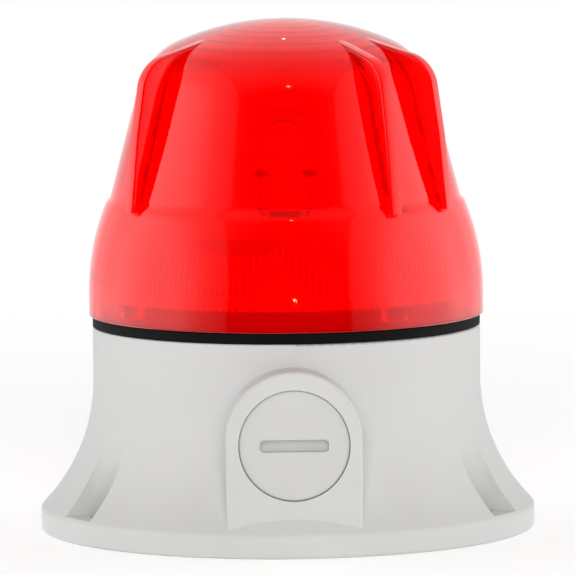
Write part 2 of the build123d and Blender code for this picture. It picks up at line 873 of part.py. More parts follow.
sub_parts = {
    "base_housing": base_housing(),
    "lens_seal": lens_seal(),
    "lens_dome": lens_dome(),
    "cable_entry_plug": cable_entry_plug(),
    "plug_seal": plug_seal(),
    "circuit_board": circuit_board(),
    "board_screws": board_screws(),
    "flash_tube": flash_tube(),
    "tube_holder": tube_holder(),
    "tube_electrodes": tube_electrodes(),
    "trigger_wire": trigger_wire(),
    "trigger_coil": trigger_coil(),
    "inverter_core": inverter_core(),
    "inverter_winding": inverter_winding(),
    "storage_capacitor": storage_capacitor(),
    "capacitor_sleeve": capacitor_sleeve(),
    "trigger_capacitor": trigger_capacitor(),
    "resistors": resistors(),
    "diodes": diodes(),
    "bridge_rectifier": bridge_rectifier(),
    "controller_chip": controller_chip(),
    "terminal_block": terminal_block(),
    "terminal_screws": terminal_screws(),
    "sounder_case": sounder_case(),
    "sounder_disc": sounder_disc(),
    "sounder_base": sounder_base(),
    "mode_switch": mode_switch(),
    "mode_slider_1": mode_slider(lower_slider),
    "mode_slider_2": mode_slider(upper_slider),
    "volume_trimmer": volume_trimmer(),
    "volume_rotor": volume_rotor(),
}

os.makedirs("parts", exist_ok=True)
for name, shape in sub_parts.items():
    solids = Compound(children=shape) if isinstance(shape, list) else shape
    export_step(solids, f"parts/{name}.step")
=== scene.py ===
from math import asin, atan2, cos, pi, radians, sin, sqrt, tan

import bpy
from mathutils import Matrix, Vector


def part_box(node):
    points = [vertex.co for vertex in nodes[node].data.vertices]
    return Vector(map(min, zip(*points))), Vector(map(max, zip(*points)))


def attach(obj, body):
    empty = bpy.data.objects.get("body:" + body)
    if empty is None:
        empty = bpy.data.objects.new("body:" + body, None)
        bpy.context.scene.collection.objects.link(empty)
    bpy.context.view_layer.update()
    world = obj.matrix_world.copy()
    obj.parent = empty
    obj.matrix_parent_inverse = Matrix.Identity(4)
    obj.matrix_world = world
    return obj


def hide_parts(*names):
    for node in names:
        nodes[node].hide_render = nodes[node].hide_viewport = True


# A strobe beacon: grey flared base, black seal, clear red lens with grip fins.
# Lengths are written in millimetres and turned to metres by MM. Azimuths are
# counted about +Z from the cable entry, which faces -Y, towards +X.

MM = 0.001

# ---- Lens ----
LENS_BOTTOM = 42.6
LENS_TOP = 101.0
LENS_RADIUS = 39.1
LENS_WALL = 2.2
UPRIGHT_TOP = 47.0
CREASE = (35.5, 64.9)
PANEL_FOOT = (34.75, 65.5)
PANEL_TOP = (27.4, 93.4)
DOME_CORNER = 14.0
EDGE_ROUND = 0.12
# Where the panel's straight side starts above the softened crease, as shares of its length.
CREASE_SHARES = (0.015, 0.045)
# The last small ring of the dome, before it closes on the axis.
CROWN_RADIUS = 0.05
CROWN_DROP = 0.1
# How far the cutting solid of the cavity reaches below the lens.
CAVITY_PAST = 1.0
LENS_COLUMNS = 180
CAVITY_COLUMNS = 360
SHOULDER_STEPS = 14
DOME_STEPS = 14
INNER_SHOULDER_STEPS = 12
INNER_DOME_STEPS = 16

# Painted glow: emission on the red wall that stands in for the light it lets through and scatters;
# heights and the share seen at each.
LENS_PAINTED_GLOW = ((46.5, 0.11), (47.5, 0.35), (62.0, 0.35), (66.0, 0.11),
             (91.0, 0.11), (95.0, 0.03))

# Ribs inside the skirt and prism rings inside the panel and the dome.
RIB_LOW = 47.0
RIB_HIGH = 62.6
RIB_DEPTH = 0.7
RIB_FOOT = 0.35
PRISM_COUNT = 4
PRISM_PITCH = 4.25
PRISM_DEPTH = 0.7
PRISM_START = 2.4
PRISM_FACE = 0.05
PRISM_CLEAR = 0.2
DOME_RING_COUNT = 8
DOME_RING_PITCH = 2.8
DOME_RING_DEPTH = 0.8
DOME_RING_FACE = 0.06

# Grip fins and bayonet lugs.
FIN_AZIMUTHS = (59.0, 179.0, -58.0, 34.5)
FIN_THICKNESS = 2.7
FIN_FOOT = (36.9, 64.6)
FIN_MIDDLE = (35.4, 79.1)
FIN_SHOULDER = (33.1, 93.6)
FIN_END = (19.5, 97.3)
FIN_ROOT = 14.0
FIN_SHOULDER_ROUND = 7.0
FIN_EDGE_ROUND = 0.5
LUG_AZIMUTHS = (33.5, 123.5, -146.5, -56.5)
LUG_SPAN = 5.0
LUG_INNER = 34.3
LUG_OUTER = 37.6
LUG_LOW = 43.9
LUG_HEIGHT = 2.6
LUG_EDGE = 0.25

# ---- Cable entry plug ----
ENTRY_HEIGHT = 21.6
PLUG_FRONT = 46.2
PLUG_RADIUS = 10.72
PLUG_HEAD = 3.0
PLUG_EDGE = 0.3
PLUG_GRIP_RING = 9.0
SLOT_LENGTH = 13.3
SLOT_WIDTH = 2.4
SLOT_DEPTH = 2.0
SLOT_CORNER = 0.8
SHANK_BACK = 35.2
SHANK_CORE = 6.95
SHANK_BORE = 5.4
SHANK_FLOOR = 0.9
SHANK_CHAMFER = 0.5
THREAD_RADIUS = 7.58
THREAD_PITCH = 1.41
THREAD_START = 41.6
THREAD_LEAD_IN = 0.8
THREAD_TURNS = 4
THREAD_STEPS = 64
# Width of a ridge at its foot, as a share of the pitch, and of its crest, as a share of the foot.
RIDGE_FOOT = 0.8
RIDGE_CREST = 0.25

# ---- Finishes ----
RESISTOR_HALF = 3.15
CLEAR_RED = (1.0, 0.0006, 0.0004)
# A colour mix node shares its socket names with other kinds, so its sockets go by index.
MIX_A, MIX_B, MIX_OUT = 6, 7, 2

# ---- Studio ----
FLOOR_SIZE = 12.0
NEAR_RADIUS = 0.16
FAR_RADIUS = 0.45
FLOOR_LIFT = 0.22
FLOOR_LIFT_SEEN = 0.14
SIDE_WALLS = ((0.565, 0.0), (0.59, 0.15), (0.66, 0.2), (0.76, 0.33), (0.84, 0.6),
              (0.9, 0.9), (0.95, 1.0))
SIDE_OVER_BACK = 1.2
WHITE = (1.0, 1.0, 1.0)
WARM = (1.0, 0.75, 0.25)

# ---- Viewpoint ----
CAMERA_DISTANCE = 1400.0
CAMERA_ELEVATION = 5.9
CAMERA_AZIMUTH = -1.7
CAMERA_ROLL = -0.5
CAMERA_AIM = (0.3, 0.0, 47.5)
CAMERA_LENS = 442.0

# Places closer than this, in millimetres, count as the same.
NEAR = 0.01

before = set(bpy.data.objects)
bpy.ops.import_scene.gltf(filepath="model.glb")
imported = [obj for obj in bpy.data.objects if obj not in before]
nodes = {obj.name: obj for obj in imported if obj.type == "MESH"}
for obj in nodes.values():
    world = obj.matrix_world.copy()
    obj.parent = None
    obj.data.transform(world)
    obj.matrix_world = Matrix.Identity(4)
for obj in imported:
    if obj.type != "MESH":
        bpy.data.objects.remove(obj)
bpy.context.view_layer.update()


# ---- Modelling helpers ----


def clear_selection():
    if bpy.context.object and bpy.context.object.mode == "EDIT":
        bpy.ops.object.mode_set(mode="OBJECT")
    bpy.ops.object.select_all(action="DESELECT")


def name_active(name):
    piece = bpy.context.object
    piece.name = name
    piece.data.name = name
    return piece


def make_active(piece):
    clear_selection()
    piece.select_set(True)
    bpy.context.view_layer.objects.active = piece


def apply_place(piece):
    make_active(piece)
    bpy.ops.object.transform_apply(location=True, rotation=True, scale=True)


def edit(piece):
    make_active(piece)
    bpy.ops.object.mode_set(mode="EDIT")
    bpy.ops.mesh.select_all(action="DESELECT")


def unmarked_mesh(piece):
    """Leave edit mode and give the mesh with nothing in it selected."""
    bpy.ops.object.mode_set(mode="OBJECT")
    mesh = piece.data
    for element in (*mesh.polygons, *mesh.edges, *mesh.vertices):
        element.select = False
    return mesh


def select_points(piece, wanted):
    """Select the vertices whose place, in millimetres, passes a test."""
    for vertex in unmarked_mesh(piece).vertices:
        vertex.select = wanted(vertex.co / MM)
    bpy.ops.object.mode_set(mode="EDIT")
    bpy.ops.mesh.select_mode(type="VERT")


def select_edges(piece, wanted):
    """Select the edges whose two ends, in millimetres, pass a test."""
    mesh = unmarked_mesh(piece)
    for mesh_edge in mesh.edges:
        ends = [mesh.vertices[index].co / MM for index in mesh_edge.vertices]
        mesh_edge.select = wanted(*ends)
    bpy.ops.object.mode_set(mode="EDIT")
    bpy.ops.mesh.select_mode(type="EDGE")


def finish_mesh(piece, angle=30.0):
    """Merge doubles, face everything outwards and smooth it up to an angle."""
    edit(piece)
    bpy.ops.mesh.select_all(action="SELECT")
    bpy.ops.mesh.remove_doubles(threshold=0.002 * MM)
    bpy.ops.mesh.normals_make_consistent(inside=False)
    bpy.ops.object.mode_set(mode="OBJECT")
    bpy.ops.object.shade_smooth_by_angle(angle=radians(angle))


def block(name, size, centre):
    """Box of a size about a centre, both in millimetres."""
    clear_selection()
    bpy.ops.mesh.primitive_cube_add(size=1, location=tuple(value * MM for value in centre))
    piece = name_active(name)
    piece.scale = tuple(value * MM for value in size)
    apply_place(piece)
    return piece


def turned(name, outline, columns, closed_top=True):
    """Turned form: one ring, extruded from corner to corner of its outline."""
    clear_selection()
    radius, height = outline[0]
    bpy.ops.mesh.primitive_circle_add(vertices=columns, radius=radius * MM,
                                      location=(0, 0, height * MM))
    piece = name_active(name)
    apply_place(piece)
    edit(piece)
    bpy.ops.mesh.select_all(action="SELECT")
    bpy.ops.mesh.edge_face_add()
    bpy.ops.mesh.select_mode(type="EDGE")
    bpy.ops.mesh.duplicate()
    bpy.ops.mesh.delete(type="ONLY_FACE")
    bpy.ops.mesh.select_all(action="DESELECT")
    bpy.ops.object.mode_set(mode="OBJECT")
    mesh = piece.data
    for mesh_edge in mesh.edges:
        mesh_edge.select = mesh_edge.index >= columns
    bpy.ops.object.mode_set(mode="EDIT")
    for corner in outline[1:]:
        bpy.ops.mesh.extrude_region()
        share = corner[0] / radius
        bpy.ops.transform.resize(value=(share, share, 1), center_override=(0, 0, height * MM))
        bpy.ops.transform.translate(value=(0, 0, (corner[1] - height) * MM))
        radius, height = corner
    if closed_top:
        bpy.ops.mesh.merge(type="CENTER")
    else:
        bpy.ops.mesh.edge_face_add()
    bpy.ops.mesh.select_all(action="SELECT")
    bpy.ops.mesh.remove_doubles(threshold=0.001 * MM)
    bpy.ops.mesh.normals_make_consistent(inside=False)
    bpy.ops.object.mode_set(mode="OBJECT")
    return piece


def combine(piece, tool, operation):
    """Join or cut one closed solid with another, then drop the tool."""
    make_active(piece)
    cut = piece.modifiers.new(operation.lower(), "BOOLEAN")
    cut.operation = operation
    cut.object = tool
    cut.solver = "EXACT"
    cut.material_mode = "TRANSFER"
    bpy.ops.object.modifier_apply(modifier=cut.name)
    bpy.data.objects.remove(tool)


def arc(centre, radius, start, end, steps):
    """Corners along an arc, with angles in degrees from the outward direction."""
    corners = []
    for index in range(steps + 1):
        angle = radians(start + (end - start) * index / steps)
        corners.append((centre[0] + radius * cos(angle), centre[1] + radius * sin(angle)))
    return corners


def vertical_arc(low, high, steps):
    """Arc that leaves the low corner straight up and ends on the high corner."""
    inwards = low[0] - high[0]
    rise = high[1] - low[1]
    radius = (inwards**2 + rise**2) / (2 * inwards)
    turn = asin(rise / radius) * 180 / pi
    return arc((low[0] - radius, low[1]), radius, 0, turn, steps)


def dome_corners(top, crown, corner_round, steps):
    """Rounded corner above the panel's straight side, and the dome up to its crown."""
    rise = crown - top[1]
    dome_radius = (top[0]**2 + rise**2) / (2 * rise)
    dome_low = crown - dome_radius
    side = Vector((PANEL_TOP[0] - PANEL_FOOT[0], PANEL_TOP[1] - PANEL_FOOT[1])).normalized()
    outward = Vector((side[1], -side[0]))
    # The corner's centre is one radius inside the panel line and one inside the dome.
    base = Vector(top) - outward * corner_round
    reach = dome_radius - corner_round
    offset = base - Vector((0, dome_low))
    along = offset.dot(side)
    either_way = sqrt(along**2 - offset.length_squared + reach**2)
    centre = base + side * min(-along - either_way, -along + either_way, key=abs)
    start = atan2(outward[1], outward[0]) * 180 / pi
    direction = centre - Vector((0, dome_low))
    end = atan2(direction[1], direction[0]) * 180 / pi
    corner = arc(centre, corner_round, start, end, steps)
    dome = arc((0, dome_low), dome_radius, end, 90, steps)
    return corner + dome[1:-1] + [(CROWN_RADIUS, crown)]


# ---- Lens ----


def lens_outside():
    foot = [(LENS_RADIUS - EDGE_ROUND, LENS_BOTTOM), (LENS_RADIUS, LENS_BOTTOM + EDGE_ROUND)]
    shoulder = vertical_arc((LENS_RADIUS, UPRIGHT_TOP), CREASE, SHOULDER_STEPS)
    panel_low = [tuple(Vector(PANEL_FOOT).lerp(Vector(PANEL_TOP), share))
                 for share in CREASE_SHARES]
    dome = dome_corners(PANEL_TOP, LENS_TOP, DOME_CORNER, DOME_STEPS)
    return turned("lens", foot + shoulder + panel_low + dome, LENS_COLUMNS)


def panel_inside(height):
    share = (height - PANEL_FOOT[1]) / (PANEL_TOP[1] - PANEL_FOOT[1])
    return PANEL_FOOT[0] + share * (PANEL_TOP[0] - PANEL_FOOT[0]) - LENS_WALL


def lens_cavity():
    """Hollow of the lens, with its ribs and prism rings, as a solid to cut with."""
    inner = LENS_RADIUS - LENS_WALL
    outline = [(inner, LENS_BOTTOM - CAVITY_PAST), (inner, RIB_LOW - RIB_FOOT)]
    outline += vertical_arc((inner, UPRIGHT_TOP), (panel_inside(PANEL_FOOT[1]), CREASE[1]),
                            INNER_SHOULDER_STEPS)
    low = PANEL_FOOT[1] + PRISM_START
    for index in range(PRISM_COUNT):
        height = low + index * PRISM_PITCH
        outline.append((panel_inside(height), height))
        outline.append((panel_inside(height) - PRISM_DEPTH, height + PRISM_FACE))
    last = low + PRISM_COUNT * PRISM_PITCH
    outline.append((panel_inside(last), last))
    top = (panel_inside(PANEL_TOP[1] - LENS_WALL), PANEL_TOP[1] - LENS_WALL)
    smooth = dome_corners(top, LENS_TOP - LENS_WALL, DOME_CORNER - LENS_WALL, INNER_DOME_STEPS)
    smooth = [corner for corner in smooth if corner[1] > last + PRISM_CLEAR]
    first_ring = DOME_RING_COUNT * DOME_RING_PITCH
    outline += [corner for corner in smooth if corner[0] > first_ring]

    def height_at(radius):
        for outer, inner_corner in zip(smooth, smooth[1:]):
            if inner_corner[0] <= radius <= outer[0]:
                share = (outer[0] - radius) / (outer[0] - inner_corner[0])
                return outer[1] + share * (inner_corner[1] - outer[1])
        return smooth[-1][1]

    for index in range(DOME_RING_COUNT, 0, -1):
        radius = index * DOME_RING_PITCH
        outline.append((radius, height_at(radius)))
        outline.append((radius - DOME_RING_FACE, height_at(radius) - DOME_RING_DEPTH))
    outline.append((CROWN_RADIUS, LENS_TOP - LENS_WALL - CROWN_DROP))
    cavity = turned("cavity", outline, CAVITY_COLUMNS)
    edit(cavity)
    heights = sorted({round(corner[1], 3) for corner in outline
                      if RIB_LOW - NEAR < corner[1] < RIB_HIGH})
    pitch = 2 * pi / CAVITY_COLUMNS
    for height in heights:
        share = (RIB_HIGH - height) / (RIB_HIGH - RIB_LOW)

        def on_rib(point, height=height):
            column = round(atan2(point.y, point.x) / pitch)
            return abs(point.z - height) < NEAR and column % 2 == 0

        select_points(cavity, on_rib)
        radius = next(corner[0] for corner in outline if abs(corner[1] - height) < NEAR)
        scale = 1 - RIB_DEPTH * share / radius
        bpy.ops.transform.resize(value=(scale, scale, 1), center_override=(0, 0, height * MM))
    bpy.ops.object.mode_set(mode="OBJECT")
    return cavity


def cut_off(piece, corner, normal):
    """Cut away what lies beyond a plane through a corner of the fin's side view."""
    edit(piece)
    bpy.ops.mesh.select_all(action="SELECT")
    bpy.ops.mesh.bisect(plane_co=(corner[0] * MM, 0, corner[1] * MM),
                        plane_no=(normal[0], 0, normal[1]), use_fill=True, clear_outer=True)
    bpy.ops.object.mode_set(mode="OBJECT")


def grip_fin():
    """One grip fin on +X: a block cut to its slopes, with a round shoulder and soft edges."""
    length = FIN_FOOT[0] - FIN_ROOT
    height = FIN_END[1] - FIN_FOOT[1]
    fin = block("fin", (length, FIN_THICKNESS, height),
                (FIN_ROOT + length / 2, 0, FIN_FOOT[1] + height / 2))
    lower = Vector((FIN_MIDDLE[1] - FIN_FOOT[1], FIN_FOOT[0] - FIN_MIDDLE[0])).normalized()
    cut_off(fin, FIN_MIDDLE, lower)
    side = Vector((FIN_SHOULDER[1] - FIN_MIDDLE[1], FIN_MIDDLE[0] - FIN_SHOULDER[0])).normalized()
    cut_off(fin, FIN_MIDDLE, side)
    top = Vector((FIN_END[1] - FIN_SHOULDER[1], FIN_SHOULDER[0] - FIN_END[0])).normalized()
    cut_off(fin, FIN_SHOULDER, top)
    edit(fin)

    def at_shoulder(first, second):
        near = all(abs(end.x - FIN_SHOULDER[0]) + abs(end.z - FIN_SHOULDER[1]) < 5 * NEAR
                   for end in (first, second))
        return near and abs(first.y - second.y) > 1

    select_edges(fin, at_shoulder)
    turn = abs(side.angle(top))
    bpy.ops.mesh.bevel(offset=FIN_SHOULDER_ROUND * tan(turn / 2) * MM, segments=10, profile=0.5)

    def on_rim(first, second):
        level = abs(first.y - second.y) < NEAR and abs(abs(first.y) - FIN_THICKNESS / 2) < NEAR
        outside = all(end.x > FIN_END[0] - 1 and end.z > FIN_FOOT[1] - 10 * NEAR
                      for end in (first, second))
        on_foot = all(end.z < FIN_FOOT[1] + 10 * NEAR for end in (first, second))
        return level and outside and not on_foot

    select_edges(fin, on_rim)
    bpy.ops.mesh.bevel(offset=FIN_EDGE_ROUND * MM, segments=3, profile=0.5)
    bpy.ops.object.mode_set(mode="OBJECT")
    return fin


def bayonet_lug():
    """One bayonet lug on +X, a block with soft edges that ends inside the wall."""
    length = LUG_OUTER - LUG_INNER
    lug = block("lug", (length, LUG_SPAN, LUG_HEIGHT),
                (LUG_INNER + length / 2, 0, LUG_LOW + LUG_HEIGHT / 2))
    edit(lug)
    bpy.ops.mesh.select_all(action="SELECT")
    bpy.ops.mesh.bevel(offset=LUG_EDGE * MM, segments=2)
    bpy.ops.object.mode_set(mode="OBJECT")
    return lug


def turned_copies(piece, azimuths):
    """Copies of a piece made on +X, turned to each azimuth, each with its own mesh."""
    copies = []
    for azimuth in azimuths:
        make_active(piece)
        bpy.ops.object.duplicate(linked=False)
        copy = bpy.context.object
        copy.rotation_euler.z = radians(azimuth - 90)
        apply_place(copy)
        copies.append(copy)
    bpy.data.objects.remove(piece)
    return copies


def build_lens(outer_finish, inner_finish):
    lens = lens_outside()
    lens.data.materials.append(outer_finish)
    fin = grip_fin()
    fin.data.materials.append(outer_finish)
    for copy in turned_copies(fin, FIN_AZIMUTHS):
        combine(lens, copy, "UNION")
    cavity = lens_cavity()
    cavity.data.materials.append(inner_finish)
    combine(lens, cavity, "DIFFERENCE")
    lug = bayonet_lug()
    lug.data.materials.append(inner_finish)
    for copy in turned_copies(lug, LUG_AZIMUTHS):
        combine(lens, copy, "UNION")
    finish_mesh(lens, 28)
    return lens


# ---- Cable entry plug ----


def lay_along_entry(piece):
    """Turn a form made along +Z from the front so that it lies on the entry's axis."""
    piece.rotation_euler.x = radians(-90)
    piece.location = (0, -PLUG_FRONT * MM, ENTRY_HEIGHT * MM)
    apply_place(piece)


def driver_slot():
    slot = block("slot", (SLOT_LENGTH, SLOT_WIDTH, 2 * SLOT_DEPTH), (0, 0, 0))
    edit(slot)

    def upright(first, second):
        return abs(first.z - second.z) > 1

    select_edges(slot, upright)
    bpy.ops.mesh.bevel(offset=SLOT_CORNER * MM, segments=6)
    bpy.ops.object.mode_set(mode="OBJECT")
    return slot


def shank_thread():
    """One rounded ridge wound along the shank."""
    clear_selection()
    bpy.ops.mesh.primitive_plane_add(size=1)
    ridge = name_active("thread")
    ridge.scale = (2 * (THREAD_RADIUS - SHANK_CORE) * MM, RIDGE_FOOT * THREAD_PITCH * MM, 1)
    apply_place(ridge)
    edit(ridge)
    select_points(ridge, lambda point: point.x > 0)
    bpy.ops.transform.resize(value=(1, RIDGE_CREST, 1), center_override=(0, 0, 0))
    bpy.ops.mesh.select_all(action="SELECT")
    bpy.ops.transform.rotate(value=radians(90), orient_axis="X", center_override=(0, 0, 0))
    back = PLUG_FRONT - THREAD_START + THREAD_LEAD_IN
    bpy.ops.transform.translate(value=(SHANK_CORE * MM, 0, back * MM))
    bpy.ops.mesh.delete(type="ONLY_FACE")
    bpy.ops.object.mode_set(mode="OBJECT")
    wind = ridge.modifiers.new("wind", "SCREW")
    wind.angle = 2 * pi
    wind.screw_offset = THREAD_PITCH * MM
    wind.iterations = THREAD_TURNS
    wind.steps = THREAD_STEPS
    wind.render_steps = THREAD_STEPS
    wind.use_normal_calculate = True
    bpy.ops.object.modifier_apply(modifier=wind.name)
    edit(ridge)
    bpy.ops.mesh.select_mode(type="EDGE")
    bpy.ops.mesh.select_non_manifold()
    bpy.ops.mesh.edge_face_add()
    bpy.ops.mesh.select_all(action="SELECT")
    bpy.ops.mesh.normals_make_consistent(inside=False)
    bpy.ops.object.mode_set(mode="OBJECT")
    return ridge


def build_plug(finish):
    """Plug with a round-edged head, a driver slot and a threaded hollow shank."""
    depth = PLUG_FRONT - SHANK_BACK
    neck = PLUG_HEAD + SHANK_FLOOR
    outline = [(PLUG_GRIP_RING, 0.0), (PLUG_RADIUS - 2 * PLUG_EDGE, 0.0),
               (PLUG_RADIUS - PLUG_EDGE, 0.1), (PLUG_RADIUS - 0.1, PLUG_EDGE),
               (PLUG_RADIUS, 2 * PLUG_EDGE), (PLUG_RADIUS, PLUG_HEAD), (SHANK_CORE, PLUG_HEAD),
               (SHANK_CORE, neck), (SHANK_CORE, depth - SHANK_CHAMFER),
               (SHANK_CORE - SHANK_CHAMFER, depth)]
    plug = turned("entry_plug", outline, 96, closed_top=False)
    bore = turned("bore", [(SHANK_BORE, neck), (SHANK_BORE, depth + 1)], 64, closed_top=False)
    for part in (plug, bore):
        part.data.materials.append(finish)
    combine(plug, bore, "DIFFERENCE")
    slot = driver_slot()
    slot.data.materials.append(finish)
    combine(plug, slot, "DIFFERENCE")
    thread = shank_thread()
    thread.data.materials.append(finish)
    make_active(plug)
    thread.select_set(True)
    bpy.ops.object.join()
    lay_along_entry(plug)
    finish_mesh(plug, 30)
    return plug


# ---- Materials ----


def input_value(shader_node, name, value):
    """Set one socket of a node by name, as a number or a colour."""
    socket = shader_node.inputs[name]
    if isinstance(value, tuple) and len(value) == 3 and socket.type == "RGBA":
        value = (*value, 1.0)
    socket.default_value = value


def add_node(tree, kind, label, place, **values):
    made = tree.nodes.new(kind)
    made.label = label
    made.location = place
    for name, value in values.items():
        input_value(made, name.replace("_", " "), value)
    return made


def add_math(tree, operation, label, place):
    made = add_node(tree, "ShaderNodeMath", label, place)
    made.operation = operation
    return made


def add_colour_mix(tree, label, place, second=None, blend="MIX"):
    """Mix node for colours, with its second colour where that is fixed."""
    made = add_node(tree, "ShaderNodeMix", label, place)
    made.data_type = "RGBA"
    made.blend_type = blend
    if second is not None:
        made.inputs[MIX_B].default_value = (*second, 1.0)
    return made


def add_ramp(tree, label, place, stops, interpolation="LINEAR"):
    """Colour ramp from a list of positions and colours, in rising order."""
    made = add_node(tree, "ShaderNodeValToRGB", label, place)
    ramp = made.color_ramp
    ramp.interpolation = interpolation
    for element, (position, colour) in zip(ramp.elements, (stops[0], stops[-1])):
        element.position = position
        element.color = (*colour, 1.0)
    for position, colour in stops[1:-1]:
        ramp.elements.new(position).color = (*colour, 1.0)
    return made


def new_group(name, inputs, outputs):
    group = bpy.data.node_groups.new(name, "ShaderNodeTree")
    for socket, kind, value in inputs:
        made = group.interface.new_socket(name=socket, in_out="INPUT", socket_type=kind)
        if value is not None:
            made.default_value = value
    for socket, kind in outputs:
        group.interface.new_socket(name=socket, in_out="OUTPUT", socket_type=kind)
    entry = group.nodes.new("NodeGroupInput")
    entry.location = (-900, 0)
    leave = group.nodes.new("NodeGroupOutput")
    leave.location = (700, 0)
    return group, entry, leave


def moulded_grain_group():
    """Fine spark grain: a height, a roughness and a slow change of tone."""
    group, entry, leave = new_group(
        "moulded_grain",
        [("Grain Scale", "NodeSocketFloat", 2600.0), ("Rough Low", "NodeSocketFloat", 0.4),
         ("Rough High", "NodeSocketFloat", 0.55),
         ("Colour", "NodeSocketColor", (0.7, 0.7, 0.7, 1.0)),
         ("Tone Change", "NodeSocketFloat", 0.04)],
        [("Colour", "NodeSocketColor"), ("Roughness", "NodeSocketFloat"),
         ("Height", "NodeSocketFloat")])
    place = add_node(group, "ShaderNodeTexCoord", "Object place", (-900, 300))
    grain = add_node(group, "ShaderNodeTexNoise", "Spark grain", (-600, 200),
                     Detail=4.0, Roughness=0.65)
    blotch = add_node(group, "ShaderNodeTexNoise", "Slow change of tone", (-600, -100),
                      Scale=45.0, Detail=3.0)
    rough = add_node(group, "ShaderNodeMapRange", "Grain to roughness", (-300, 200))
    tone = add_node(group, "ShaderNodeMapRange", "Tone about one", (-300, -100),
                    From_Min=0.3, From_Max=0.7)
    mixed = add_math(group, "MULTIPLY_ADD", "Grain and blotch", (-450, 50))
    mixed.inputs[1].default_value = 0.6
    low = add_math(group, "SUBTRACT", "Lowest tone", (-600, -400))
    low.inputs[0].default_value = 1.0
    shade = add_colour_mix(group, "Toned colour", (300, 0), blend="MULTIPLY")
    shade.inputs["Factor"].default_value = 1.0
    link = group.links.new
    link(place.outputs["Object"], grain.inputs["Vector"])
    link(place.outputs["Object"], blotch.inputs["Vector"])
    link(entry.outputs["Grain Scale"], grain.inputs["Scale"])
    link(grain.outputs["Fac"], mixed.inputs[0])
    link(blotch.outputs["Fac"], mixed.inputs[2])
    link(mixed.outputs[0], rough.inputs["Value"])
    link(entry.outputs["Rough Low"], rough.inputs["To Min"])
    link(entry.outputs["Rough High"], rough.inputs["To Max"])
    link(entry.outputs["Tone Change"], low.inputs[1])
    link(blotch.outputs["Fac"], tone.inputs["Value"])
    link(low.outputs[0], tone.inputs["To Min"])
    link(entry.outputs["Colour"], shade.inputs[MIX_A])
    link(tone.outputs["Result"], shade.inputs[MIX_B])
    link(shade.outputs[MIX_OUT], leave.inputs["Colour"])
    link(rough.outputs["Result"], leave.inputs["Roughness"])
    link(grain.outputs["Fac"], leave.inputs["Height"])
    return group


def hairline_group():
    """Fine handling scratches in two directions, as a mask."""
    group, entry, leave = new_group(
        "handling_hairlines",
        [("Scale", "NodeSocketFloat", 90.0), ("Amount", "NodeSocketFloat", 0.5)],
        [("Mask", "NodeSocketFloat")])
    place = add_node(group, "ShaderNodeTexCoord", "Object place", (-1100, 0))
    link = group.links.new
    masks = []
    for index, turn in enumerate((0.35, 1.25)):
        turned_place = add_node(group, "ShaderNodeMapping", "Turned", (-900, -300 * index))
        turned_place.inputs["Rotation"].default_value = (0.4 * index, turn, 0.9 * turn)
        turned_place.inputs["Scale"].default_value = (1.0, 14.0, 14.0)
        lines = add_node(group, "ShaderNodeTexNoise", "Hairlines", (-650, -300 * index),
                         Detail=2.0)
        sharp = add_node(group, "ShaderNodeMapRange", "Only the sharpest", (-400, -300 * index),
                         From_Min=0.66, From_Max=0.72)
        link(place.outputs["Object"], turned_place.inputs["Vector"])
        link(turned_place.outputs["Vector"], lines.inputs["Vector"])
        link(entry.outputs["Scale"], lines.inputs["Scale"])
        link(lines.outputs["Fac"], sharp.inputs["Value"])
        masks.append(sharp)
    both = add_math(group, "MAXIMUM", "Either direction", (-100, 0))
    amount = add_math(group, "MULTIPLY", "Amount", (150, 0))
    link(masks[0].outputs["Result"], both.inputs[0])
    link(masks[1].outputs["Result"], both.inputs[1])
    link(both.outputs[0], amount.inputs[0])
    link(entry.outputs["Amount"], amount.inputs[1])
    link(amount.outputs[0], leave.inputs["Mask"])
    return group


def settled_dust_group():
    """Thin dust on faces that look up, as a mask."""
    group, entry, leave = new_group(
        "settled_dust", [("Amount", "NodeSocketFloat", 0.2)], [("Mask", "NodeSocketFloat")])
    place = add_node(group, "ShaderNodeTexCoord", "Object place", (-900, 200))
    faces = add_node(group, "ShaderNodeNewGeometry", "Facing", (-900, -100))
    split = add_node(group, "ShaderNodeSeparateXYZ", "Upward part", (-700, -100))
    upward = add_node(group, "ShaderNodeMapRange", "Only level faces", (-450, -100), From_Min=0.55)
    specks = add_node(group, "ShaderNodeTexNoise", "Specks", (-700, 200), Scale=420.0, Detail=6.0)
    patch = add_node(group, "ShaderNodeMapRange", "Patches", (-450, 200),
                     From_Min=0.42, From_Max=0.75)
    both = add_math(group, "MULTIPLY", "Patches on level faces", (-150, 0))
    amount = add_math(group, "MULTIPLY", "Amount", (100, 0))
    link = group.links.new
    link(place.outputs["Object"], specks.inputs["Vector"])
    link(specks.outputs["Fac"], patch.inputs["Value"])
    link(faces.outputs["Normal"], split.inputs["Vector"])
    link(split.outputs["Z"], upward.inputs["Value"])
    link(upward.outputs["Result"], both.inputs[0])
    link(patch.outputs["Result"], both.inputs[1])
    link(both.outputs[0], amount.inputs[0])
    link(entry.outputs["Amount"], amount.inputs[1])
    link(amount.outputs[0], leave.inputs["Mask"])
    return group


def new_material(name):
    material = bpy.data.materials.new(name)
    material.use_nodes = True
    tree = material.node_tree
    shader = tree.nodes["Principled BSDF"]
    shader.location = (300, 0)
    return material, tree, shader


def place_group(tree, group, place, **values):
    made = tree.nodes.new("ShaderNodeGroup")
    made.node_tree = group
    made.label = group.name
    made.location = place
    for name, value in values.items():
        input_value(made, name.replace("_", " "), value)
    return made


def add_bump(tree, height, shader, distance, strength=1.0):
    bump = add_node(tree, "ShaderNodeBump", "Relief", (50, -350),
                    Strength=strength, Distance=distance)
    tree.links.new(height, bump.inputs["Height"])
    tree.links.new(bump.outputs["Normal"], shader.inputs["Normal"])
    return bump


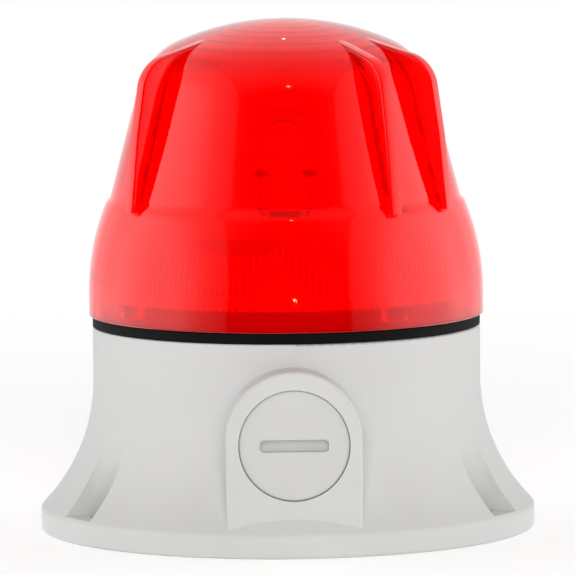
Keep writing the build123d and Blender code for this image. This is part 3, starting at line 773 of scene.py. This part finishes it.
def plastic(name, colour, groups, rough=(0.38, 0.52), scale=2600.0, tone=0.05, relief=0.004,
            dust=0.12, specular=None):
    """Moulded plastic: spark grain, a slow change of tone and a little dust."""
    material, tree, shader = new_material(name)
    grain = place_group(tree, groups["grain"], (-500, 100), Grain_Scale=scale, Rough_Low=rough[0],
                        Rough_High=rough[1], Colour=colour, Tone_Change=tone)
    film = place_group(tree, groups["dust"], (-500, -200), Amount=dust)
    dusty = add_colour_mix(tree, "Dust over plastic", (0, 150), (0.62, 0.6, 0.57))
    link = tree.links.new
    link(film.outputs["Mask"], dusty.inputs["Factor"])
    link(grain.outputs["Colour"], dusty.inputs[MIX_A])
    link(dusty.outputs[MIX_OUT], shader.inputs["Base Color"])
    link(grain.outputs["Roughness"], shader.inputs["Roughness"])
    add_bump(tree, grain.outputs["Height"], shader, relief * MM)
    if specular is not None:
        input_value(shader, "Specular IOR Level", specular)
    return material


def metal(name, colour, groups, rough=(0.22, 0.4), scale=900.0, tone=0.1, hairlines=0.5):
    """Bare or plated metal, with hairline scratches that brighten and roughen it."""
    material, tree, shader = new_material(name)
    grain = place_group(tree, groups["grain"], (-500, 100), Grain_Scale=scale, Rough_Low=rough[0],
                        Rough_High=rough[1], Colour=colour, Tone_Change=tone)
    lines = place_group(tree, groups["hairlines"], (-500, -250), Scale=220.0, Amount=hairlines)
    worn = add_colour_mix(tree, "Scratched tone", (0, 150), (0.85, 0.85, 0.84))
    rougher = add_math(tree, "MULTIPLY_ADD", "Scratched roughness", (0, -100))
    rougher.inputs[1].default_value = 0.25
    link = tree.links.new
    link(lines.outputs["Mask"], worn.inputs["Factor"])
    link(grain.outputs["Colour"], worn.inputs[MIX_A])
    link(worn.outputs[MIX_OUT], shader.inputs["Base Color"])
    link(lines.outputs["Mask"], rougher.inputs[0])
    link(grain.outputs["Roughness"], rougher.inputs[2])
    link(rougher.outputs[0], shader.inputs["Roughness"])
    input_value(shader, "Metallic", 1.0)
    add_bump(tree, grain.outputs["Height"], shader, 0.002 * MM)
    return material


def painted_lens_glow_group():
    """Painted glow on the red wall by height, standing in for scattered light: most behind the
    ribs, least in the dome.
    """
    group, entry, leave = new_group("lens_glow", [], [("Colour", "NodeSocketColor")])
    place = add_node(group, "ShaderNodeTexCoord", "Object place", (-700, 0))
    split = add_node(group, "ShaderNodeSeparateXYZ", "Height", (-500, 0))
    share = add_node(group, "ShaderNodeMapRange", "Whole lens", (-300, 0),
                     From_Min=LENS_BOTTOM * MM, From_Max=LENS_TOP * MM)
    glow = add_ramp(group, "Glow", (0, 0), [
        ((height - LENS_BOTTOM) / (LENS_TOP - LENS_BOTTOM), (level, 0.0, 0.0))
        for height, level in LENS_PAINTED_GLOW])
    link = group.links.new
    link(place.outputs["Object"], split.inputs["Vector"])
    link(split.outputs["Z"], share.inputs["Value"])
    link(share.outputs["Result"], glow.inputs["Fac"])
    link(glow.outputs["Color"], leave.inputs["Colour"])
    return group


def clear_red(name, groups, rough, transmission, relief, tone=0.06):
    """Clear red moulding with a painted glow. The polished and the ribbed faces differ in gloss.
    """
    material, tree, shader = new_material(name)
    grain = place_group(tree, groups["grain"], (-500, 100), Grain_Scale=700.0, Rough_Low=rough[0],
                        Rough_High=rough[1], Colour=CLEAR_RED, Tone_Change=tone)
    link = tree.links.new
    link(grain.outputs["Colour"], shader.inputs["Base Color"])
    link(grain.outputs["Roughness"], shader.inputs["Roughness"])
    input_value(shader, "Transmission Weight", transmission)
    input_value(shader, "IOR", 1.5)
    # The painted glow fades on edges seen from the side, and it doesn't light the pieces around
    # it.
    glow = place_group(tree, groups["glow"], (-500, -200))
    path = add_node(tree, "ShaderNodeLightPath", "Light for other pieces", (-700, -600))
    slant = add_node(tree, "ShaderNodeLayerWeight", "Seen from the side", (-700, -400))
    fade = add_math(tree, "POWER", "Only the last of the turn", (-500, -400))
    fade.inputs[1].default_value = 3.0
    hidden = add_math(tree, "MAXIMUM", "Glow left out", (-350, -450))
    seen = add_colour_mix(tree, "Glow where seen", (-200, -200), (0.0, 0.0, 0.0))
    link(slant.outputs["Facing"], fade.inputs[0])
    link(fade.outputs[0], hidden.inputs[0])
    link(path.outputs["Is Diffuse Ray"], hidden.inputs[1])
    link(hidden.outputs[0], seen.inputs["Factor"])
    link(glow.outputs["Colour"], seen.inputs[MIX_A])
    # Painted glow: emission that stands in for light passing through the red wall.
    link(seen.outputs[MIX_OUT], shader.inputs["Emission Color"])
    input_value(shader, "Emission Strength", 1.0)
    add_bump(tree, grain.outputs["Height"], shader, relief * MM)
    return material


def lathe_tape(name, groups):
    """Yellow tape wound round the bobbin, seen as fine turns."""
    material, tree, shader = new_material(name)
    place = add_node(tree, "ShaderNodeTexCoord", "Object place", (-900, 0))
    turns = add_node(tree, "ShaderNodeTexWave", "Turns of tape", (-650, 0),
                     Scale=160.0, Distortion=0.4)
    turns.bands_direction = "Z"
    grain = place_group(tree, groups["grain"], (-650, 300), Grain_Scale=900.0, Rough_Low=0.25,
                        Rough_High=0.4, Colour=(0.78, 0.52, 0.06), Tone_Change=0.12)
    edge = add_colour_mix(tree, "Darker between turns", (-200, 150), (0.42, 0.25, 0.02))
    gap = add_node(tree, "ShaderNodeMapRange", "Narrow gap", (-420, -50),
                   From_Min=0.2, From_Max=0.0)
    link = tree.links.new
    link(place.outputs["Object"], turns.inputs["Vector"])
    link(turns.outputs["Fac"], gap.inputs["Value"])
    link(gap.outputs["Result"], edge.inputs["Factor"])
    link(grain.outputs["Colour"], edge.inputs[MIX_A])
    link(edge.outputs[MIX_OUT], shader.inputs["Base Color"])
    link(grain.outputs["Roughness"], shader.inputs["Roughness"])
    add_bump(tree, turns.outputs["Fac"], shader, 0.05 * MM)
    return material


def circuit_green(name, groups):
    """Solder mask over copper tracks, with bare fibreglass at the board's edge."""
    material, tree, shader = new_material(name)
    place = add_node(tree, "ShaderNodeTexCoord", "Object place", (-1300, 0))
    tracks = add_node(tree, "ShaderNodeTexBrick", "Copper tracks", (-900, 100), Scale=105.0)
    input_value(tracks, "Mortar Size", 0.05)
    tracks.offset = 0.37
    tracks.squash = 1.7
    input_value(tracks, "Color1", (0.012, 0.13, 0.04))
    input_value(tracks, "Color2", (0.014, 0.16, 0.05))
    input_value(tracks, "Mortar", (0.03, 0.26, 0.07))
    weave = add_node(tree, "ShaderNodeTexWave", "Glass weave", (-900, -250),
                     Scale=900.0, Distortion=1.0)
    faces = add_node(tree, "ShaderNodeNewGeometry", "Facing", (-900, 450))
    split = add_node(tree, "ShaderNodeSeparateXYZ", "Upward part", (-700, 450))
    level = add_math(tree, "ABSOLUTE", "Level faces", (-500, 450))
    rim = add_colour_mix(tree, "Bare edge", (-200, 200))
    rim.inputs[MIX_A].default_value = (0.45, 0.42, 0.2, 1.0)
    grain = place_group(tree, groups["grain"], (-500, -100), Grain_Scale=1500.0, Rough_Low=0.25,
                        Rough_High=0.38, Tone_Change=0.1)
    link = tree.links.new
    link(place.outputs["Object"], tracks.inputs["Vector"])
    link(place.outputs["Object"], weave.inputs["Vector"])
    link(tracks.outputs["Color"], grain.inputs["Colour"])
    link(faces.outputs["Normal"], split.inputs["Vector"])
    link(split.outputs["Z"], level.inputs[0])
    link(level.outputs[0], rim.inputs["Factor"])
    link(grain.outputs["Colour"], rim.inputs[MIX_B])
    link(rim.outputs[MIX_OUT], shader.inputs["Base Color"])
    link(grain.outputs["Roughness"], shader.inputs["Roughness"])
    add_bump(tree, weave.outputs["Fac"], shader, 0.01 * MM, 0.5)
    return material


def banded_resistor(name, groups, centre_x):
    """Beige lacquer with four colour bands and tinned leads."""
    material, tree, shader = new_material(name)
    place = add_node(tree, "ShaderNodeTexCoord", "Object place", (-1300, 0))
    split = add_node(tree, "ShaderNodeSeparateXYZ", "Along the body", (-1100, 0))
    shift = add_node(tree, "ShaderNodeMapRange", "Whole body", (-900, 0),
                     From_Min=(centre_x - RESISTOR_HALF) * MM,
                     From_Max=(centre_x + RESISTOR_HALF) * MM)
    shift.clamp = False
    tin = (0.6, 0.6, 0.58)
    body = (0.55, 0.4, 0.22)
    bands = add_ramp(tree, "Colour bands", (-650, 0), [
        (0.0, tin), (0.004, body), (0.12, (0.5, 0.22, 0.02)), (0.19, body),
        (0.36, (0.02, 0.015, 0.012)), (0.44, body), (0.53, (0.45, 0.02, 0.015)), (0.61, body),
        (0.8, (0.55, 0.4, 0.08)), (0.88, body), (0.996, tin)], "CONSTANT")
    grain = place_group(tree, groups["grain"], (-250, 0), Grain_Scale=1400.0, Rough_Low=0.25,
                        Rough_High=0.35, Tone_Change=0.08)
    link = tree.links.new
    link(place.outputs["Object"], split.inputs["Vector"])
    link(split.outputs["X"], shift.inputs["Value"])
    link(shift.outputs["Result"], bands.inputs["Fac"])
    link(bands.outputs["Color"], grain.inputs["Colour"])
    link(grain.outputs["Colour"], shader.inputs["Base Color"])
    link(grain.outputs["Roughness"], shader.inputs["Roughness"])
    add_bump(tree, grain.outputs["Height"], shader, 0.003 * MM)
    return material


def tube_glass(name, groups):
    material, tree, shader = new_material(name)
    grain = place_group(tree, groups["grain"], (-500, 100), Grain_Scale=300.0, Rough_Low=0.01,
                        Rough_High=0.05, Colour=(0.97, 0.98, 1.0), Tone_Change=0.02)
    link = tree.links.new
    link(grain.outputs["Colour"], shader.inputs["Base Color"])
    link(grain.outputs["Roughness"], shader.inputs["Roughness"])
    input_value(shader, "Transmission Weight", 1.0)
    input_value(shader, "IOR", 1.47)
    return material


def node_centre_x(node):
    low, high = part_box(node)
    return (low.x + high.x) / 2 / MM


# The glow group is a painted glow for the red lens.
groups = {"grain": moulded_grain_group(), "hairlines": hairline_group(),
          "dust": settled_dust_group(), "glow": painted_lens_glow_group()}

housing_grey = plastic("housing_grey", (0.68, 0.68, 0.675), groups, rough=(0.42, 0.56),
                       relief=0.012, dust=0.05)
plug_grey = plastic("plug_grey", (0.66, 0.66, 0.655), groups, rough=(0.36, 0.48),
                    relief=0.006, dust=0.05)
seal_rubber = plastic("seal_rubber", (0.006, 0.006, 0.006), groups, rough=(0.6, 0.8), scale=1500.0,
                      relief=0.01, dust=0.01, specular=0.12)
# Both red lens finishes carry the painted glow, emission standing in for light through the wall.
lens_polished = clear_red("lens_red", groups, rough=(0.02, 0.05), transmission=0.85, relief=0.004)
lens_ribbed = clear_red("lens_red_inside", groups, rough=(0.1, 0.16), transmission=0.85,
                        relief=0.01)

finishes = {
    "base_housing": housing_grey,
    "lens_seal": seal_rubber,
    "plug_seal": seal_rubber,
    "circuit_board": circuit_green("board_green", groups),
    "board_screws": metal("zinc_steel", (0.62, 0.62, 0.6), groups),
    "flash_tube": tube_glass("tube_glass", groups),
    "tube_holder": plastic("holder_white", (0.8, 0.79, 0.75), groups, rough=(0.35, 0.5), dust=0.1),
    "tube_electrodes": metal("tinned_wire", (0.7, 0.7, 0.69), groups, rough=(0.38, 0.52)),
    "trigger_coil": plastic("coil_black", (0.022, 0.022, 0.024), groups, rough=(0.25, 0.42),
                            dust=0.15),
    "inverter_core": plastic("ferrite", (0.05, 0.05, 0.054), groups, rough=(0.5, 0.7),
                             scale=1200.0, tone=0.25, relief=0.02),
    "inverter_winding": lathe_tape("winding_tape", groups),
    "storage_capacitor": metal("can_aluminium", (0.8, 0.8, 0.8), groups, rough=(0.18, 0.3)),
    "capacitor_sleeve": plastic("sleeve_dark", (0.03, 0.03, 0.045), groups, rough=(0.2, 0.32),
                                dust=0.1),
    "trigger_capacitor": plastic("film_case_red", (0.42, 0.03, 0.02), groups, rough=(0.15, 0.25),
                                 scale=600.0, tone=0.15, relief=0.02),
    "resistors": banded_resistor("resistor_beige", groups, node_centre_x("resistors")),
    "terminal_block": plastic("terminal_green", (0.05, 0.3, 0.1), groups, rough=(0.3, 0.45)),
    "sounder_disc": metal("disc_brass", (0.75, 0.57, 0.25), groups),
    "mode_switch": plastic("switch_red", (0.5, 0.03, 0.03), groups, rough=(0.3, 0.45)),
    "volume_trimmer": plastic("trimmer_blue", (0.03, 0.11, 0.5), groups, rough=(0.3, 0.45)),
}
same_finish = {
    "terminal_screws": "board_screws",
    "trigger_wire": "tube_electrodes",
    "diodes": "trigger_coil",
    "bridge_rectifier": "trigger_coil",
    "controller_chip": "trigger_coil",
    "sounder_case": "trigger_coil",
    "sounder_base": "trigger_coil",
    "mode_slider_1": "tube_holder",
    "mode_slider_2": "tube_holder",
    "volume_rotor": "tube_holder",
}
for node, like in same_finish.items():
    finishes[node] = finishes[like]
for node, finish in finishes.items():
    nodes[node].data.materials.clear()
    nodes[node].data.materials.append(finish)

# ---- Pieces of the scene ----

lens = build_lens(lens_polished, lens_ribbed)
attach(lens, "lens")
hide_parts("lens_dome")

entry_plug = build_plug(plug_grey)
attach(entry_plug, "plug")
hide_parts("cable_entry_plug")

# ---- Floor, light and camera ----


def tent_light_group():
    """Brightness of a light tent by direction: dark in front, brightest at the sides."""
    group, entry, leave = new_group(
        "tent_light", [("Direction", "NodeSocketVector", None)],
        [("Brightness", "NodeSocketFloat")])
    split = add_node(group, "ShaderNodeSeparateXYZ", "Across, back and up", (-700, 0))
    back = add_node(group, "ShaderNodeMapRange", "Front to back", (-400, 150),
                    From_Min=-0.8, To_Max=1.0)
    across = add_math(group, "ABSOLUTE", "Either side", (-550, -150))
    side = add_ramp(group, "Side walls", (-350, -150), [
        (position, (level, level, level)) for position, level in SIDE_WALLS])
    both = add_math(group, "MULTIPLY_ADD", "Side over back", (100, 0))
    both.inputs[1].default_value = SIDE_OVER_BACK
    link = group.links.new
    link(entry.outputs["Direction"], split.inputs["Vector"])
    link(split.outputs["Y"], back.inputs["Value"])
    link(split.outputs["X"], across.inputs[0])
    link(across.outputs[0], side.inputs["Fac"])
    link(side.outputs["Color"], both.inputs[0])
    link(back.outputs["Result"], both.inputs[2])
    link(both.outputs[0], leave.inputs["Brightness"])
    return group


def seen_mask(tree, place):
    """Light path node, and a mask of what is seen directly or through the lens."""
    path = add_node(tree, "ShaderNodeLightPath", "Seen directly or through the lens", place)
    seen = add_math(tree, "MAXIMUM", "Camera or transmission", (place[0] + 225, place[1]))
    tree.links.new(path.outputs["Is Camera Ray"], seen.inputs[0])
    tree.links.new(path.outputs["Is Transmission Ray"], seen.inputs[1])
    return path, seen


def floor_material(tent_light):
    """Pale floor that keeps the shadow near the object and is white farther off."""
    material = bpy.data.materials.new("studio_floor")
    material.use_nodes = True
    tree = material.node_tree
    tree.nodes.clear()
    place = add_node(tree, "ShaderNodeTexCoord", "Object place", (-900, 0))
    length = add_node(tree, "ShaderNodeVectorMath", "Distance out", (-700, 0))
    length.operation = "LENGTH"
    fade = add_node(tree, "ShaderNodeMapRange", "Near to far", (-500, 0))
    fade.interpolation_type = "SMOOTHSTEP"
    input_value(fade, "From Min", NEAR_RADIUS)
    input_value(fade, "From Max", FAR_RADIUS)
    path, seen = seen_mask(tree, (-900, 350))
    far = add_math(tree, "MULTIPLY", "Far and seen", (-250, 200))
    pale = add_node(tree, "ShaderNodeBsdfDiffuse", "Pale floor", (-250, -50),
                    Color=(0.86, 0.86, 0.86))
    lift = add_node(tree, "ShaderNodeEmission", "Lift", (-250, -200))
    lift_level = add_math(tree, "MULTIPLY_ADD", "Lift level", (-450, -200))
    lift_level.inputs[1].default_value = FLOOR_LIFT_SEEN
    lift_level.inputs[2].default_value = FLOOR_LIFT
    lifted = add_node(tree, "ShaderNodeAddShader", "Lifted floor", (0, -100))
    white = add_node(tree, "ShaderNodeEmission", "White", (0, 100), Strength=1.0)
    mixed = add_node(tree, "ShaderNodeMixShader", "Floor", (250, 0))
    outward = add_node(tree, "ShaderNodeVectorMath", "Direction out", (-700, -400))
    outward.operation = "NORMALIZE"
    tent = place_group(tree, tent_light, (-450, -400))
    sheen = add_node(tree, "ShaderNodeEmission", "Tent on the floor", (0, -400))
    mirrored = add_node(tree, "ShaderNodeMixShader", "Floor in reflections", (450, 0))
    surface = add_node(tree, "ShaderNodeOutputMaterial", "Surface", (650, 0))
    link = tree.links.new
    link(place.outputs["Object"], length.inputs[0])
    link(length.outputs["Value"], fade.inputs["Value"])
    link(fade.outputs["Result"], far.inputs[0])
    link(seen.outputs[0], far.inputs[1])
    link(seen.outputs[0], lift_level.inputs[0])
    link(lift_level.outputs[0], lift.inputs["Strength"])
    link(pale.outputs[0], lifted.inputs[0])
    link(lift.outputs[0], lifted.inputs[1])
    link(far.outputs[0], mixed.inputs[0])
    link(lifted.outputs[0], mixed.inputs[1])
    link(white.outputs[0], mixed.inputs[2])
    link(place.outputs["Object"], outward.inputs[0])
    link(outward.outputs["Vector"], tent.inputs["Direction"])
    link(tent.outputs["Brightness"], sheen.inputs["Strength"])
    link(path.outputs["Is Glossy Ray"], mirrored.inputs[0])
    link(mixed.outputs[0], mirrored.inputs[1])
    link(sheen.outputs[0], mirrored.inputs[2])
    link(mirrored.outputs[0], surface.inputs["Surface"])
    return material


tent_light = tent_light_group()
clear_selection()
bpy.ops.mesh.primitive_plane_add(size=FLOOR_SIZE, location=(0, 0, 0))
floor = name_active("studio_floor")
floor.data.materials.append(floor_material(tent_light))

world = bpy.data.worlds.new("studio")
bpy.context.scene.world = world
world.use_nodes = True
sky = world.node_tree
sky.nodes.clear()
towards = add_node(sky, "ShaderNodeTexCoord", "Direction", (-700, 0))
tent = place_group(sky, tent_light, (-450, 0))
_, seen = seen_mask(sky, (-700, 350))
level = add_node(sky, "ShaderNodeMix", "White where seen", (-200, 100), B=1.0)
lit = add_node(sky, "ShaderNodeBackground", "Studio light", (0, 0), Color=WHITE)
surround = add_node(sky, "ShaderNodeOutputWorld", "Surround", (250, 0))
sky.links.new(towards.outputs["Generated"], tent.inputs["Direction"])
sky.links.new(seen.outputs[0], level.inputs[0])
sky.links.new(tent.outputs["Brightness"], level.inputs[2])
sky.links.new(level.outputs[0], lit.inputs["Strength"])
sky.links.new(lit.outputs[0], surround.inputs["Surface"])


def area_lamp(name, shape, size, place, energy, colour=WHITE):
    """Area light that faces the object."""
    lamp = bpy.data.lights.new(name, "AREA")
    lamp.shape = shape
    lamp.size = size
    lamp.energy = energy
    lamp.color = colour
    light = bpy.data.objects.new(name, lamp)
    light.location = place
    ahead = Vector((0, 0, 0.05)) - light.location
    light.rotation_euler = ahead.to_track_quat("-Z", "Y").to_euler()
    bpy.context.scene.collection.objects.link(light)
    return light


# The fill only lights the object; the small lamps alone show as glints.
fill = area_lamp("front_fill", "DISK", 1.2, (0, -1.6, 0.5), 15.0)
fill.visible_glossy = False
fill.visible_transmission = False
area_lamp("low_glint", "DISK", 0.02, (0.09, -1.5, 0.02), 0.2, WARM)
area_lamp("high_glint", "DISK", 0.02, (0.05, -1.04, 1.08), 0.35, WARM)
area_lamp("back_glint", "DISK", 0.012, (0.03, 1.1, 1.1), 0.015, WARM)

bpy.context.scene.view_settings.view_transform = "Standard"

view = bpy.data.cameras.new("camera")
view.lens = CAMERA_LENS
view.sensor_width = 36
view.clip_start = 0.05
view.clip_end = 30
camera = bpy.data.objects.new("camera", view)
aim = Vector(CAMERA_AIM) * MM
elevation = radians(CAMERA_ELEVATION)
azimuth = radians(CAMERA_AZIMUTH)
away = Vector((sin(azimuth) * cos(elevation), -cos(azimuth) * cos(elevation), sin(elevation)))
camera.location = aim + away * CAMERA_DISTANCE * MM
facing = (-away).to_track_quat("-Z", "Y").to_matrix()
camera.rotation_euler = (facing @ Matrix.Rotation(radians(CAMERA_ROLL), 3, "Z")).to_euler()
bpy.context.scene.collection.objects.link(camera)
bpy.context.scene.camera = camera

# ---- Scene update ----

bpy.context.view_layer.update()
